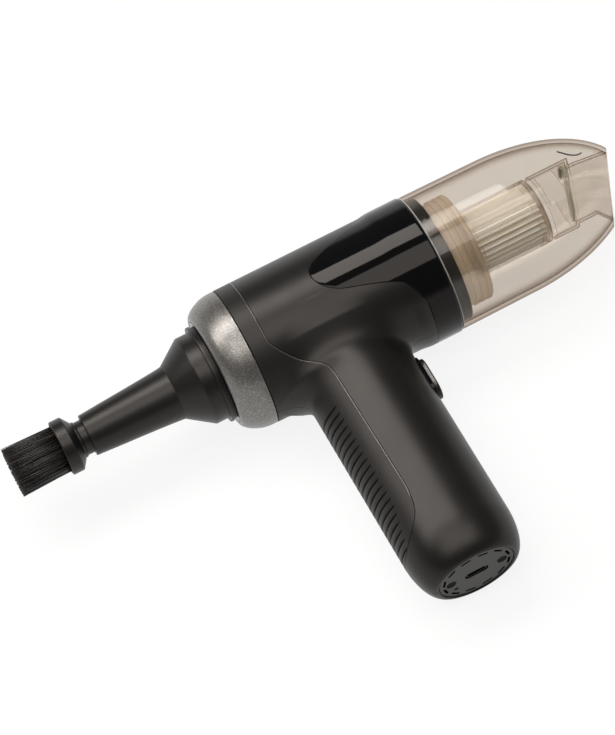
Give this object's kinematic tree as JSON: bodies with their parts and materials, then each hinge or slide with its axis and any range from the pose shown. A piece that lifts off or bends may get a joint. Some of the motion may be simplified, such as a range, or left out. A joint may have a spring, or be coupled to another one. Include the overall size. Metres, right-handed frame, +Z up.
{
  "type": "handheld vacuum cleaner",
  "caption": "Pistol-shaped handheld vacuum cleaner with a clear dust cup and pleated filter in front, ribbed handle grip, push button, and a blower nozzle with a brush head behind.",
  "frame": {"origin": "centre of the bounding box on the floor that the object lies on", "axes": "lying on its side as stored: +X along the barrel from the brush to the dust cup, +Y away from the handle, +Z up"},
  "size_m": [0.2812, 0.166, 0.0614],
  "materials": {
    "black_plastic": "soft matt",
    "soft_grip": "soft matt",
    "gloss_black": "gloss",
    "gunmetal": "satin metallic",
    "smoked_clear": "clear, smoked",
    "clear_plastic": "clear",
    "amber_plastic": "satin",
    "filter_paper": "matt",
    "silicone": "satin",
    "steel": "plain",
    "motor_steel": "plain",
    "black_rubber": "matt",
    "grey_plastic": "matt",
    "cell_wrap": "gloss",
    "board": "satin",
    "light_lens": "frosted",
    "bright_trim": "satin",
    "bristle": "matt"
  },
  "bodies": {
    "main_body": {"housing_left": "black_plastic", "housing_right": "black_plastic", "rear_grip_left": "soft_grip", "rear_grip_right": "soft_grip", "case_screws": "steel", "gloss_panel_left": "gloss_black", "gloss_panel_right": "gloss_black", "cup_gasket": "black_rubber", "outlet_ring": "gunmetal", "outlet_sleeve": "black_plastic", "outlet_guard": "black_plastic", "cup_spigot": "black_plastic", "motor_can": "motor_steel", "rear_bearing": "steel", "front_bearing": "steel", "rear_motor_mount": "black_rubber", "front_motor_mount": "black_rubber", "fan_shroud": "grey_plastic", "battery_cells": "cell_wrap", "cell_holder": "grey_plastic", "charge_board": "board", "charge_socket": "steel", "control_board": "board", "power_switch": "grey_plastic", "button_bezel": "black_plastic", "base_plate": "black_plastic", "base_screws": "steel", "status_light": "light_lens"},
    "cup": {"dust_cup": "smoked_clear", "inlet_duct": "clear_plastic", "flap_pin": "steel"},
    "flap": {"inlet_flap": "silicone"},
    "filter": {"filter_base": "amber_plastic", "filter_pleats": "filter_paper", "filter_cage": "clear_plastic", "filter_cap": "clear_plastic"},
    "nozzle": {"blower_nozzle": "black_plastic"},
    "brush": {"brush_collar": "black_plastic", "bristles_1": "bristle", "bristles_2": "bristle", "bristles_3": "bristle", "bristles_4": "bristle"},
    "button": {"button_cap": "black_plastic", "button_trim": "bright_trim"},
    "rotor": {"motor_shaft": "steel", "fan": "grey_plastic"}
  },
  "joints": [
    {"name": "cup_pull", "type": "slide", "parent": "main_body", "child": "cup", "axis": [1, 0, 0], "range_m": [0, 0.09]},
    {"name": "filter_pull", "type": "slide", "parent": "main_body", "child": "filter", "axis": [1, 0, 0], "range_m": [0, 0.0315]},
    {"name": "flap_swing", "type": "hinge", "parent": "cup", "child": "flap", "pos_m": [0.11973, 0.06395, 0.03166], "axis": [0, 0.0825, -0.9966], "range_deg": [0, 26], "stiffness_Nm_per_rad": 0.0005},
    {"name": "nozzle_pull", "type": "slide", "parent": "main_body", "child": "nozzle", "axis": [-1, 0, 0], "range_m": [0, 0.06]},
    {"name": "brush_pull", "type": "slide", "parent": "nozzle", "child": "brush", "axis": [-1, 0, 0], "range_m": [0, 0.03]},
    {"name": "power_button", "type": "slide", "parent": "main_body", "child": "button", "axis": [-1, 0, 0], "range_m": [0, 0.0008], "stiffness_N_per_m": 1500},
    {"name": "rotor_spin", "type": "hinge", "parent": "main_body", "child": "rotor", "pos_m": [0.01186, 0.0523, 0.0307], "axis": [1, 0, 0], "continuous": true}
  ],
  "couplings": [
    {"joint": "filter_pull", "follows": "cup_pull", "ratio": 0.35}
  ]
}
